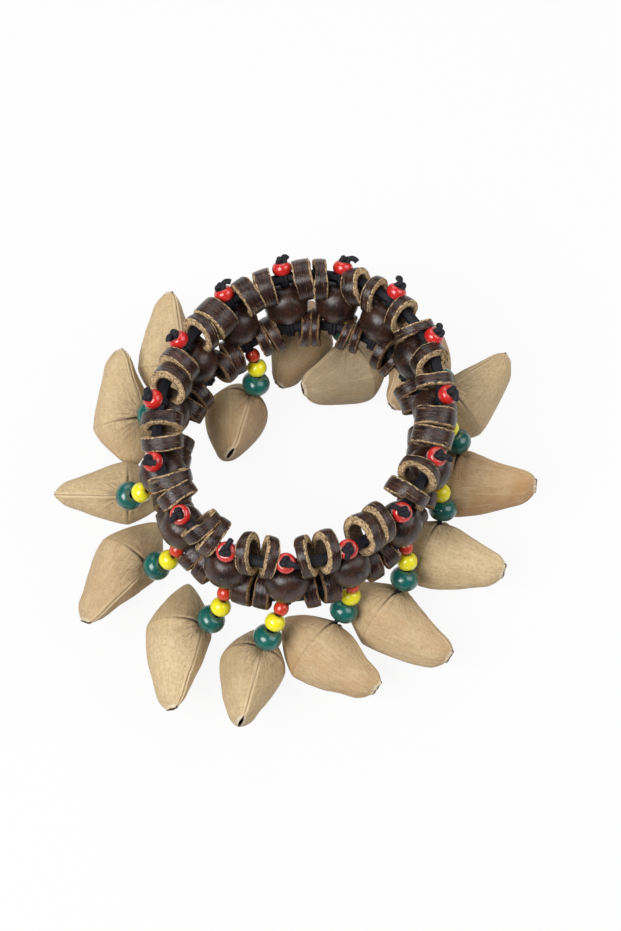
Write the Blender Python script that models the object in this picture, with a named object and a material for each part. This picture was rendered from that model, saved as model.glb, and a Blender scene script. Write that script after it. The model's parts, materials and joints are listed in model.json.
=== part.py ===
"""Nutshell shaker bracelet.

Two elastic rows of coconut-shell rings lie one above the other around the wrist
opening. Fifteen knotted threads tie the rows together, each with a red stopper
bead on top and a round wooden bead between the rows. Below the lower row every
thread carries three small beads and ends in a hollow nutshell that lies on the
table. +Z is up, +Y points away from the viewer, and the table is Z = 0.
"""

import math

import bmesh
import bpy
from mathutils import Matrix, Vector

# Band
DROPS = 15
BAND_LONG = 0.0424  # half axes of the oval that the upper row follows
BAND_SHORT = 0.0370
BAND_HEADING = math.radians(65)  # of the long axis
BAND_CENTRE = Vector((-0.001, -0.0005))
UPPER_HEIGHT = 0.0435
ROW_SPACING = 0.016
FIRST_DROP = math.radians(76)  # the drops follow one another clockwise from here
LEAN_SIDES = math.radians(10)  # how far the rows lean in at the sides of the band
LEAN_FAR = math.radians(24)  # and how much more or less on the far and near side

# Elastic, thread and the beads threaded on them
ELASTIC_RADIUS = 0.00115
THREAD_RADIUS = 0.0006
RING_RADIUS = 0.0049
RING_BORE = 0.0029
UPPER_THICK = 0.0046  # of a ring on the upper row
LOWER_THICK = 0.0031
RING_BITE = 0.00025  # how far the elastic is pressed into a ring's bore
RING_SPLAY = math.radians(5)
WOOD_RADIUS = 0.0059
STOPPER_RADIUS, STOPPER_THICK, STOPPER_EYE = 0.0026, 0.0034, 0.0015
RED_RADIUS, RED_THICK, RED_EYE = 0.0022, 0.0034, 0.0012
YELLOW_RADIUS, YELLOW_THICK, YELLOW_EYE = 0.0028, 0.0044, 0.0014
GREEN_RADIUS, GREEN_THICK, GREEN_EYE = 0.0040, 0.0060, 0.0017
KNOT_RADIUS, KNOT_LENGTH = 0.0013, 0.0020
GAP = 0.0003  # between pieces that touch
BORE_GAP = 0.00035  # round a thread in its bore
SEAT = 0.0001  # how far a stopper is pressed onto the elastic
BEAD_BELLY = 0.28  # share of a bead that rounds into each eye
STRAIGHT = 0.001  # smallest bend of a thread, in radians
STEP = 0.01  # of a row when its direction is taken

# Nutshell
NUT_BIG = 0.0222  # crease to the slit tip
NUT_SMALL = 0.0140  # crease to the blunt tip
NUT_KEEL = 0.0100  # axis to the keel that carries the thread hole
NUT_CHEEK = 0.0092  # axis to the flat cheeks
NUT_BEND = 0.0016  # how far the slit tip leans to the keel
TIP_KEEL = 0.0042  # half height and half width of the blunt slit tip
TIP_CHEEK = 0.0024
NUT_WALL = 0.0015
SLIT_WIDTH = 0.0014
SLIT_LENGTH = 0.0042
BIG_FLARE = 1.25  # how the big lobe narrows to its tip; 1 is a straight flank
SMALL_FLARE, SMALL_ROUND = 1.4, 0.75  # how the small lobe rounds to a point
TIP_ROUND = 0.05  # end of the big lobe that is rounded off, and by how much
TIP_DRAW = 0.4
CAVITY_DRAW = 1.6  # walls left at the ends of the hollow

# Facets
ELASTIC_STEPS, ELASTIC_SIDES = 45, 6
RING_SIDES = 8
WOOD_SIDES = 10
TIE_SIDES = 6
STRAND_SIDES = 6
NUT_SIDES = 10
CAVITY_SIDES = 6
NUT_STATIONS = (-0.985, -0.8, -0.4, 0, 0.35, 0.7, 0.95, 1)  # shares of the lobes
CAVITY_STATIONS = (-0.72, -0.38, 0, 0.45, 0.78)

# How each nut lies, in degrees: heading of its thread hole from the crossing of its thread with
# the lower row, heading and rise of its slit tip, and roll of its keel about the tip from upright
# (to the tip's left where positive); then its length against the mean nut.
LIE = (
    (24, -145, 15, -42, 0.82),
    (26, -116, -5, -30, 0.78),
    (0, 42, 5, 30, 0.92),
    (-28, -12, 10, 40, 1.0),
    (-60, -25, 10, 55, 0.95),
    (-90, -40, 5, 48, 0.97),
    (-115, -42, 5, 65, 0.9),
    (-120, -100, 25, 15, 0.95),
    (-125, -97, 10, 44, 1.05),
    (-157, -125, 5, 48, 0.98),
    (-176, -178, 5, 24, 0.9),
    (145, 100, 15, -34, 0.93),
    (126, 93, 20, -30, 0.95),
    (-80, -97, 30, 25, 0.9),
    (100, -108, -5, -31, 0.77),
)

# Colours
SHELL_TAN = (0.58, 0.42, 0.23)
COCONUT = (0.07, 0.035, 0.022)
WOOD_BROWN = (0.075, 0.035, 0.025)
BEAD_GREEN = (0.006, 0.11, 0.075)


def clear_scene():
    for thing in list(bpy.data.objects):
        bpy.data.objects.remove(thing, do_unlink=True)


def material(name, colour, roughness):
    made = bpy.data.materials.new(name)
    made.use_nodes = True
    shader = made.node_tree.nodes["Principled BSDF"]
    shader.inputs["Base Color"].default_value = (*colour, 1)
    shader.inputs["Roughness"].default_value = roughness
    return made


def add_object(name, bm, parent, place=Matrix(), look=None):
    """Makes a smooth-shaded object placed against its parent; without a look it is a cutter."""
    bmesh.ops.recalc_face_normals(bm, faces=bm.faces)
    mesh = bpy.data.meshes.new(name)
    bm.to_mesh(mesh)
    bm.free()
    mesh.shade_smooth()
    mesh.set_sharp_from_angle(angle=math.radians(40))
    made = bpy.data.objects.new(name, mesh)
    bpy.context.scene.collection.objects.link(made)
    made.parent = parent
    made.matrix_basis = place
    if look:
        mesh.materials.append(look)
    else:
        made.hide_render = True
        made.display_type = "WIRE"
    return made


def combine(target, tool, operation):
    mod = target.modifiers.new(operation.title(), "BOOLEAN")
    mod.operation = operation
    mod.solver = "EXACT"
    mod.object = tool


def close_ends(bm):
    bmesh.ops.holes_fill(bm, edges=[edge for edge in bm.edges if edge.is_boundary], sides=0)


def turn(bm, profile, sides, place, closed=False):
    """Spins (along, radius) points about the axis of the placing matrix."""
    before = len(bm.verts)
    verts = [bm.verts.new((radius, 0, along)) for along, radius in profile]
    edges = [bm.edges.new(pair) for pair in zip(verts, verts[1:])]
    if closed:
        edges.append(bm.edges.new((verts[-1], verts[0])))
    bmesh.ops.spin(bm, geom=verts + edges, axis=(0, 0, 1), cent=(0, 0, 0),
                   angle=2 * math.pi, steps=sides, use_merge=True)
    if not closed:
        close_ends(bm)
    bm.verts.ensure_lookup_table()
    bmesh.ops.transform(bm, matrix=place, verts=bm.verts[before:])


def loft(bm, sections, sides, closed=False):
    """Bridges circles drawn with the placing matrices, into a loop or with both ends closed."""
    rings = []
    for place in sections:
        circle = bmesh.ops.create_circle(bm, segments=sides, radius=1, matrix=place)["verts"]
        rings.append(list({edge for vert in circle for edge in vert.link_edges}))
    pairs = list(zip(rings, rings[1:]))
    if closed:
        pairs.append((rings[-1], rings[0]))
    for one, two in pairs:
        bmesh.ops.bridge_loops(bm, edges=one + two)
    if not closed:
        close_ends(bm)


def axes(across, up, along, spot, wide=1, tall=1):
    """A placing matrix from three unit vectors, with the first two stretched."""
    place = Matrix((across * wide, up * tall, along)).transposed().to_4x4()
    place.translation = spot
    return place


def facing(along, spot):
    side = along.orthogonal().normalized()
    return axes(side, along.normalized().cross(side), along.normalized(), spot)


def bead_profile(start, thick, radius, eye):
    """A rounded bead along its thread, between two eyes."""
    belly = BEAD_BELLY * thick
    return [(start, eye), (start + belly, radius),
            (start + thick - belly, radius), (start + thick, eye)]


def upper_point(angle):
    oval = Vector((math.cos(angle - BAND_HEADING) * BAND_LONG,
                   math.sin(angle - BAND_HEADING) * BAND_SHORT))
    oval.rotate(Matrix.Rotation(BAND_HEADING, 2))
    return (oval + BAND_CENTRE).to_3d() + Vector((0, 0, UPPER_HEIGHT))


def lower_point(angle):
    """The lower row hangs under the upper one and leans in on the far side."""
    lean = LEAN_SIDES + LEAN_FAR * math.sin(angle)
    out = Vector((math.cos(angle), math.sin(angle), 0))
    return upper_point(angle) - ROW_SPACING * (out * math.sin(lean) + Vector((0, 0, math.cos(lean))))


def drop_angle(index):
    return FIRST_DROP - 2 * math.pi * index / DROPS


def tangent(point_at, angle):
    return (point_at(angle + STEP) - point_at(angle - STEP)).normalized()


def away_from_wood(point_at, angle):
    """Across the row, away from the wooden beads between the rows."""
    line = tangent(point_at, angle)
    out = point_at(angle) - (upper_point(angle) + lower_point(angle)) / 2
    return (out - line * out.dot(line)).normalized()


def add_elastic(bm, point_at):
    sections = []
    for step in range(ELASTIC_STEPS):
        angle = 2 * math.pi * step / ELASTIC_STEPS
        out, line = away_from_wood(point_at, angle), tangent(point_at, angle)
        sections.append(axes(
            line.cross(out), out, line, point_at(angle), ELASTIC_RADIUS, ELASTIC_RADIUS))
    loft(bm, sections, ELASTIC_SIDES, closed=True)


def ring_shift():
    """How far a ring's middle lies from the elastic that its bore hangs on."""
    return RING_BORE * math.cos(math.pi / RING_SIDES) - ELASTIC_RADIUS + RING_BITE


def ring_thickness(thick, pitch):
    """The chosen thickness, or what the shoulders of two wooden beads leave for it."""
    edge = ROW_SPACING / 2 - RING_RADIUS + ring_shift()
    shoulder = math.sqrt(max(WOOD_RADIUS ** 2 - edge ** 2, 0))
    room = pitch - 2 * max(shoulder, THREAD_RADIUS) - 4 * GAP
    return min(thick, room / 2)


def add_rings(bm, point_at, thick):
    """Two coconut-shell rings between each pair of drops, hung on the elastic."""
    for index in range(DROPS):
        pitch = (point_at(drop_angle(index)) - point_at(drop_angle(index + 1))).length
        half = ring_thickness(thick, pitch) / 2
        profile = [(-half, RING_RADIUS), (half, RING_RADIUS), (half, RING_BORE), (-half, RING_BORE)]
        for side in (-1, 1):
            angle = drop_angle(index + 0.5 + side * (half + GAP) / pitch)
            out = away_from_wood(point_at, angle)
            line = Matrix.Rotation(side * RING_SPLAY, 3, out) @ tangent(point_at, angle)
            place = axes(out, line.cross(out), line, point_at(angle) + out * ring_shift())
            turn(bm, profile, RING_SIDES, place @ Matrix.Rotation(math.pi / RING_SIDES, 4, "Z"), True)


def thread_line(index):
    """Upper and lower crossing of a drop's thread."""
    return upper_point(drop_angle(index)), lower_point(drop_angle(index))


def add_tie(bm, index):
    """Knot, red stopper and the thread that runs down through the wooden bead."""
    top, foot = thread_line(index)
    seat = ELASTIC_RADIUS - SEAT
    crown = seat + STOPPER_THICK
    profile = [(GAP + ELASTIC_RADIUS - ROW_SPACING, THREAD_RADIUS), (seat, THREAD_RADIUS)]
    profile += bead_profile(seat, STOPPER_THICK, STOPPER_RADIUS, STOPPER_EYE)
    profile += [(crown + KNOT_LENGTH / 2, KNOT_RADIUS), (crown + KNOT_LENGTH, THREAD_RADIUS)]
    turn(bm, profile, TIE_SIDES, facing(top - foot, top))


def make_row(name, point_at, thick, band, look, ties):
    beads = bmesh.new()
    add_rings(beads, point_at, thick)
    if ties:
        for index in range(DROPS):
            add_tie(beads, index)
    cord = bmesh.new()
    add_elastic(cord, point_at)
    row = add_object(name, cord, band, look=look)
    combine(row, add_object(name + "_beads", beads, row), "UNION")


def make_wood(index, band, look):
    """A round bead turned with its bore along the thread."""
    top, foot = thread_line(index)
    mouth = math.acos((THREAD_RADIUS + BORE_GAP) / WOOD_RADIUS)
    profile = []
    for step in range(6):
        a = mouth * (step / 2.5 - 1)
        profile.append((WOOD_RADIUS * math.sin(a), WOOD_RADIUS * math.cos(a)))
    bm = bmesh.new()
    turn(bm, profile, WOOD_SIDES, Matrix(), True)
    add_object(f"wood_bead_{index + 1:02d}", bm, band, facing(top - foot, (top + foot) / 2), look)


def aim(heading, rise=0):
    heading, rise = math.radians(heading), math.radians(rise)
    return Vector((
        math.cos(rise) * math.cos(heading), math.cos(rise) * math.sin(heading), math.sin(rise)))


def halve(spare, low, high):
    """Narrows down where a falling quantity runs out."""
    for _ in range(40):
        middle = (low + high) / 2
        low, high = (middle, high) if spare(middle) > 0 else (low, middle)
    return low


def strand_length():
    """From the middle of the lower elastic to the mouth of the thread hole."""
    return ELASTIC_RADIUS + RED_THICK + YELLOW_THICK + GREEN_THICK + 4 * GAP


def nut_on_table(index):
    """Slit tip, keel and height of the thread hole of a nut that lies on the table."""
    _, heading, rise, roll, stretch = LIE[index]
    tip = aim(heading, rise)
    upright = (Vector((0, 0, 1)) - tip * tip.z).normalized()
    keel = Matrix.Rotation(-math.radians(roll), 3, tip) @ upright
    cheek = tip.cross(keel)
    axis_height = GAP + max(
        math.hypot(tall * keel.z, wide * cheek.z) - along * tip.z - bend * keel.z
        for along, bend, tall, wide in nut_shape(stretch, NUT_STATIONS))
    return tip, keel, axis_height + NUT_KEEL * keel.z


def spare_thread(chord, enter):
    """Thread left over when it bends evenly along a chord until it enters the nut."""
    half = max(chord.angle(enter), STRAIGHT)
    return strand_length() * math.sin(half) / half - chord.length


def lay_nut(index):
    """Moves a nut out as far as its thread lets it, and lifts it if the thread is too short.

    Gives the thread's direction at the band and at the nut, the slit tip and the hole mouth.
    """
    tip, keel, height = nut_on_table(index)
    foot, down, out = thread_line(index)[1], Vector((0, 0, -1)), aim(LIE[index][0])
    fall = min(foot.z - height,
               halve(lambda fall: spare_thread(down * fall, -keel), GAP, strand_length()))
    reach = halve(lambda reach: spare_thread(out * reach + down * fall, -keel), 0, strand_length())
    chord = out * reach + down * fall
    line = chord.normalized()
    return keel - 2 * line.dot(keel) * line, -keel, tip, foot + chord


def strand_at(leave, enter, along):
    """Place, from the lower row, and direction of the thread, which bends evenly to the nut."""
    bend, length = max(leave.angle(enter), STRAIGHT), strand_length()
    share = min(along / length, 1)
    course = (leave * (math.cos((1 - share) * bend) - math.cos(bend))
              + enter * (1 - math.cos(share * bend))) / (bend * math.sin(bend))
    heading = leave * math.sin((1 - share) * bend) + enter * math.sin(share * bend)
    return course * length + enter * max(along - length, 0), heading.normalized()


def make_strand(index, leave, enter, band, look):
    """The end of the thread with its red, yellow and green beads and the knot inside the nut."""
    along = ELASTIC_RADIUS + GAP
    profile = [(along, THREAD_RADIUS)]
    for thick, radius, eye in (
        (RED_THICK, RED_RADIUS, RED_EYE),
        (YELLOW_THICK, YELLOW_RADIUS, YELLOW_EYE),
        (GREEN_THICK, GREEN_RADIUS, GREEN_EYE),
    ):
        profile += bead_profile(along + GAP / 2, thick, radius, eye)
        along += thick + GAP
    inside = strand_length() + NUT_WALL + GAP
    profile += [(along, THREAD_RADIUS), (inside, THREAD_RADIUS),
                (inside + KNOT_LENGTH / 2, KNOT_RADIUS), (inside + KNOT_LENGTH, KNOT_RADIUS)]
    across = leave.cross(enter)
    across = (across if across.length > STRAIGHT else leave.orthogonal()).normalized()
    sections = []
    for along, radius in profile:
        spot, heading = strand_at(leave, enter, along)
        sections.append(axes(across, heading.cross(across), heading, spot, radius, radius))
    bm = bmesh.new()
    loft(bm, sections, STRAND_SIDES)
    foot = Matrix.Translation(thread_line(index)[1])
    return add_object(f"strand_{index + 1:02d}", bm, band, foot, look)


def nut_shape(stretch, stations, wall=0.0):
    """Place, bend, half height and half width along the two lobes, drawn in by the wall."""
    shape = []
    for share in stations:
        if share > 0:
            lobe, bend, full = NUT_BIG, NUT_BEND, 1 - share ** BIG_FLARE
            round_off = 1 - TIP_DRAW * max(0, 1 - (1 - share) / TIP_ROUND)
            tall = (TIP_KEEL + (NUT_KEEL - TIP_KEEL) * full) * round_off
            wide = (TIP_CHEEK + (NUT_CHEEK - TIP_CHEEK) * full) * round_off
        else:
            lobe, bend = NUT_SMALL, NUT_BEND / 3
            full = (1 - abs(share) ** SMALL_FLARE) ** SMALL_ROUND
            tall, wide = NUT_KEEL * full, NUT_CHEEK * full
        shape.append((share * (lobe * stretch - CAVITY_DRAW * wall), bend * share * share,
                      tall - wall, wide - wall))
    return shape


def nut_section(along, bend, tall, wide):
    """Places a cross-section in a nut whose origin is the mouth of its thread hole."""
    return axes(Vector((0, 0, 1)), Vector((0, 1, 0)), Vector((1, 0, 0)),
                Vector((along, bend - NUT_KEEL, 0)), wide, tall)


def make_nut(index, tip, keel, strand, mouth, look):
    """A hollow double cone, open at its slit tip and at the thread hole in the keel."""
    name, stretch = f"nutshell_{index + 1:02d}", LIE[index][-1]
    outer = bmesh.new()
    loft(outer, [nut_section(*part) for part in nut_shape(stretch, NUT_STATIONS)], NUT_SIDES)
    place = axes(tip, keel, tip.cross(keel), mouth - strand.location)
    nut = add_object(name, outer, strand, place, look)

    end = NUT_BIG * stretch
    shape = nut_shape(stretch, CAVITY_STATIONS, NUT_WALL)
    for along in (end - 2 * NUT_WALL, end + NUT_WALL):
        shape.append((along, NUT_BEND, SLIT_LENGTH / 2, SLIT_WIDTH / 2))
    cavity = bmesh.new()
    loft(cavity, [nut_section(*part) for part in shape], CAVITY_SIDES)
    combine(nut, add_object(name + "_cavity", cavity, nut), "DIFFERENCE")

    hole = bmesh.new()
    width = (THREAD_RADIUS + BORE_GAP) / math.cos(math.pi / CAVITY_SIDES)
    turn(hole, [(-2 * NUT_WALL, width), (NUT_WALL, width)], CAVITY_SIDES,
         facing(Vector((0, 1, 0)), Vector()))
    combine(nut, add_object(name + "_hole", hole, nut), "DIFFERENCE")


def build():
    clear_scene()
    band = bpy.data.objects.new("band", None)
    bpy.context.scene.collection.objects.link(band)
    look = material("coconut_upper", COCONUT, 0.4)
    make_row("upper_row", upper_point, UPPER_THICK, band, look, True)
    look = material("coconut_lower", COCONUT, 0.4)
    make_row("lower_row", lower_point, LOWER_THICK, band, look, False)
    for index in range(DROPS):
        tag = f"{index + 1:02d}"
        make_wood(index, band, material("wood_" + tag, WOOD_BROWN, 0.45))
        leave, enter, tip, mouth = lay_nut(index)
        strand = make_strand(index, leave, enter, band, material("beads_" + tag, BEAD_GREEN, 0.4))
        make_nut(index, tip, -enter, strand, mouth, material("nut_" + tag, SHELL_TAN, 0.75))


build()
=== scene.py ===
"""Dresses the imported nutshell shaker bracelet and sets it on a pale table."""

import json
import logging
import math
from dataclasses import dataclass
from enum import Enum, IntEnum
from typing import Any, Callable, Iterator, Sequence

import bmesh
import bpy
from mathutils import Matrix, Vector, noise

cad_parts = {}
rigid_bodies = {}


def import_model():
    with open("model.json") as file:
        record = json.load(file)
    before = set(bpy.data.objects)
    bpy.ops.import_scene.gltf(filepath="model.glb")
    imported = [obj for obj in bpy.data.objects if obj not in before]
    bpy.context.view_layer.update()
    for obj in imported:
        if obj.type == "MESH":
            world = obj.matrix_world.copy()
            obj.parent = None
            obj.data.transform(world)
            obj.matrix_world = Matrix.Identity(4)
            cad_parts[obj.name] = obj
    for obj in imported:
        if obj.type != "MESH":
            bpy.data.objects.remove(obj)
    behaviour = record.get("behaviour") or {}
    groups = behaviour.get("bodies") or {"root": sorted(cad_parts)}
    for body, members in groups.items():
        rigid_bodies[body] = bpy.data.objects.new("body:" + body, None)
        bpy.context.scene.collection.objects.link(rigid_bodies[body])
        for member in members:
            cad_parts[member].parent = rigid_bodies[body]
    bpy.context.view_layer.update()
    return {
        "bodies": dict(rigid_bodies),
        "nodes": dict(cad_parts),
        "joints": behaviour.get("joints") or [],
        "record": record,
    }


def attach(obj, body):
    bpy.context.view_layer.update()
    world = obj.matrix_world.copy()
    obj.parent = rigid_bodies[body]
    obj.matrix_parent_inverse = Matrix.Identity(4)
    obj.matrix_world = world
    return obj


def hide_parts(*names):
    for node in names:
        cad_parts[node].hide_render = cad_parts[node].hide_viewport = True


LOG = logging.getLogger("bracelet")
Colour = tuple[float, float, float]
Profile = Sequence[tuple[float, float]]
MM = 0.001
HASH_WEIGHTS = (12.9898, 78.233)
HASH_SCALE = 43758.5453
TURN_STEP = 0.01  # of a row, in radians, when its direction is taken
STRAIGHT = 0.001  # smallest bend of a thread, in radians
TIP_SHARE = 0.97  # of a nut's reach, past which its vertices tell where the tip is
RIB_ROOT = 0.8  # an elastic between its ribs, against the plain tube, and how far the ribs rise
RIB_RISE = 0.22
# Tilt of the two rings in each gap, in degrees, and the first ring's share of the gap, from the
# first drop on; a positive tilt turns the face towards the next drop up.
UPPER_RINGS = (
    (30, 8, 0.6), (18, -20, 0.5), (22, -12, 0.55), (-8, -15, 0.5), (20, -14, 0.42),
    (18, 28, 0.42), (16, -17, 0.52), (15, -18, 0.5), (18, 24, 0.5), (14, 22, 0.5),
    (26, 2, 0.5), (-28, -10, 0.55), (-16, 0, 0.36), (6, 0, 0.5), (8, 4, 0.57),
)
LOWER_RINGS = ((8, -4, 0.5), (-9, 5, 0.55), (3, 10, 0.45), (-7, -12, 0.5), (9, -3, 0.52))
# How brown each nut is, and how much painted shade greys it for lying under the band, from the first drop
# on.
SHELL_TONES = (
    (0.3, 0.75), (0.7, 0.4), (0.2, 0.0), (1.0, 0.1), (0.15, 0.05),
    (0.45, 0.15), (0.6, 0.15), (0.2, 0.1), (0.15, 0.0), (0.4, 0.2),
    (0.2, 0.0), (0.25, 0.0), (0.2, 0.0), (0.7, 0.25), (0.7, 0.5),
)
# Numbers that the meshes carry for their finishes to read.
RING_MARKS = ("ring_skin", "ring_edge", "ring_bore", "ring_around", "ring_along", "ring_seed")
BEAD_MARKS = ("bead_along", "bead_around", "bead_edge", "bead_seed")
SHELL_MARKS = (
    "shell_along", "shell_keel", "shell_hole", "shell_turn", "shell_round",
    "shell_lip", "shell_inside", "shell_brown", "shell_band_shade", "shell_seed",
)


class Trait(IntEnum):
    """What a fixed random number decides."""

    RING_YAW = 2
    RING_SIZE = 5
    UPPER_RING = 7
    LOWER_RING = 8
    WOOD = 11
    WOOD_SIZE = 12
    STOPPER = 21
    STOPPER_LEAN = 22
    STRAND = 31
    SHELL = 41
    WAIST = 42
    LUMPS_X = 43
    LUMPS_Y = 44
    LUMPS_Z = 45


def chance(item: int, trait: int) -> float:
    """A fixed number from 0 to 1 for one trait of one piece.

    Args:
        item: The piece's number.
        trait: The trait's number.

    Returns:
        The same value each time for the same numbers.
    """
    mixed = sum(key * weight for key, weight in zip((item, trait), HASH_WEIGHTS))
    return math.sin(mixed) * HASH_SCALE % 1.0


def stray(amount: float, item: int, trait: int) -> float:
    """A fixed number between minus and plus an amount."""
    return amount * (2 * chance(item, trait) - 1)


def axes(across: Vector, up: Vector, along: Vector, spot: Vector) -> Matrix:
    """A placing matrix from three unit vectors and a place.

    Args:
        across: Where local X points.
        up: Where local Y points.
        along: Where local Z points.
        spot: The local origin.

    Returns:
        The matrix.
    """
    place = Matrix((across, up, along)).transposed().to_4x4()
    place.translation = spot
    return place


def facing(along: Vector, spot: Vector, near: Vector | None = None) -> Matrix:
    """A placing matrix whose local Z points along a direction.

    Args:
        along: Where local Z points.
        spot: The local origin.
        near: A direction that local X keeps close to.

    Returns:
        The matrix.
    """
    along = along.normalized()
    side = near - along * near.dot(along) if near else along.orthogonal()
    side.normalize()
    return axes(side, along.cross(side), along, spot)


def smooth(value: float, low: float, high: float) -> float:
    """Eases from 0 at one value to 1 at another."""
    share = min(max((value - low) / (high - low), 0.0), 1.0)
    return share * share * (3 - 2 * share)


def bell(value: float, width: float) -> float:
    """Falls from 1 at zero to nothing a few widths away."""
    return math.exp(-(value / width) ** 2)


class Row(Enum):
    """The two elastic rows of the band."""

    UPPER = "upper"
    LOWER = "lower"

    @property
    def slot(self) -> str:
        """The record's material slot."""
        return f"coconut_{self.value}"


@dataclass(frozen=True)
class Band:
    """The two ovals that the rows follow, one hung under the other."""

    drops: int = 15
    half_length: float = 42.4 * MM
    half_width: float = 37.0 * MM
    heading: float = math.radians(65)
    centre: tuple[float, float] = (-1.0 * MM, -0.5 * MM)
    height: float = 43.5 * MM
    spacing: float = 16.0 * MM
    first: float = math.radians(76)
    lean: float = math.radians(10)
    lean_far: float = math.radians(24)
    elastic: float = 1.15 * MM

    def point(self, row: Row, angle: float) -> Vector:
        """A place on a row.

        Args:
            row: Which row.
            angle: Where on the oval.

        Returns:
            The middle of the elastic there.
        """
        oval = Vector((math.cos(angle - self.heading) * self.half_length,
                       math.sin(angle - self.heading) * self.half_width))
        oval.rotate(Matrix.Rotation(self.heading, 2))
        upper = (oval + Vector(self.centre)).to_3d() + Vector((0, 0, self.height))
        if row is Row.UPPER:
            return upper
        lean = self.lean + self.lean_far * math.sin(angle)
        out = Vector((math.cos(angle), math.sin(angle), 0))
        return upper - self.spacing * (out * math.sin(lean) + Vector((0, 0, math.cos(lean))))

    def angle(self, index: float) -> float:
        """Where a drop crosses the rows; halves lie between two drops."""
        return self.first - 2 * math.pi * index / self.drops

    def along(self, row: Row, angle: float) -> Vector:
        """The direction of a row's elastic."""
        return (self.point(row, angle + TURN_STEP) - self.point(row, angle - TURN_STEP)).normalized()

    def away(self, row: Row, angle: float) -> Vector:
        """Across a row, away from the wooden beads between the rows.

        Args:
            row: Which row.
            angle: Where on the oval.

        Returns:
            The unit vector.
        """
        line = self.along(row, angle)
        middle = (self.point(Row.UPPER, angle) + self.point(Row.LOWER, angle)) / 2
        out = self.point(row, angle) - middle
        return (out - line * out.dot(line)).normalized()


@dataclass(frozen=True)
class Drop:
    """One thread with its beads and nut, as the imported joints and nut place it."""

    number: int
    top: Vector
    foot: Vector
    mouth: Vector
    enter: Vector
    tip: Vector
    reach: float

    @classmethod
    def from_frame(cls, number: int, band: Band, frame: dict[str, Any]) -> "Drop":
        """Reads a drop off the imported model.

        Args:
            number: The drop's number, from 1.
            band: The rows that the thread crosses.
            frame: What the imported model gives.

        Returns:
            The drop.
        """
        joints = {joint["name"]: joint for joint in frame["joints"]}
        foot = Vector(joints[f"swing_{number:02d}"]["pos_m"])
        turn = joints[f"turn_{number:02d}"]
        mouth, enter = Vector(turn["pos_m"]), Vector(turn["axis"]).normalized()
        shell = [vert.co - mouth for vert in frame["nodes"][f"nutshell_{number:02d}"].data.vertices]
        flat = [spot - enter * spot.dot(enter) for spot in shell]
        tip = max(flat, key=lambda spot: spot.length).normalized()
        reach = max(spot.dot(tip) for spot in flat)
        ends = [spot for spot in flat if spot.dot(tip) > TIP_SHARE * reach]
        tip = sum(ends, Vector()).normalized()
        top = band.point(Row.UPPER, band.angle(number - 1))
        return cls(number, top, foot, mouth, enter, tip, reach)

    @property
    def leave(self) -> Vector:
        """The thread's direction where it leaves the lower row."""
        chord = (self.mouth - self.foot).normalized()
        return 2 * chord.dot(self.enter) * chord - self.enter

    @property
    def length(self) -> float:
        """The thread from the lower row to the nut, along its bend."""
        half = max((self.mouth - self.foot).angle(self.enter), STRAIGHT)
        return (self.mouth - self.foot).length * half / math.sin(half)

    def thread_at(self, along: float) -> tuple[Vector, Vector]:
        """A place and the direction on the evenly bent thread.

        Args:
            along: The distance from the lower row.

        Returns:
            The place and the unit direction.
        """
        leave, enter, length = self.leave, self.enter, self.length
        bend = max(leave.angle(enter), STRAIGHT)
        share = min(max(along / length, 0.0), 1.0)
        course = (leave * (math.cos((1 - share) * bend) - math.cos(bend))
                  + enter * (1 - math.cos(share * bend))) / (bend * math.sin(bend))
        heading = leave * math.sin((1 - share) * bend) + enter * math.sin(share * bend)
        spot = self.foot + course * length + enter * max(along - length, 0.0)
        return spot + leave * min(along, 0.0), heading.normalized()


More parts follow.
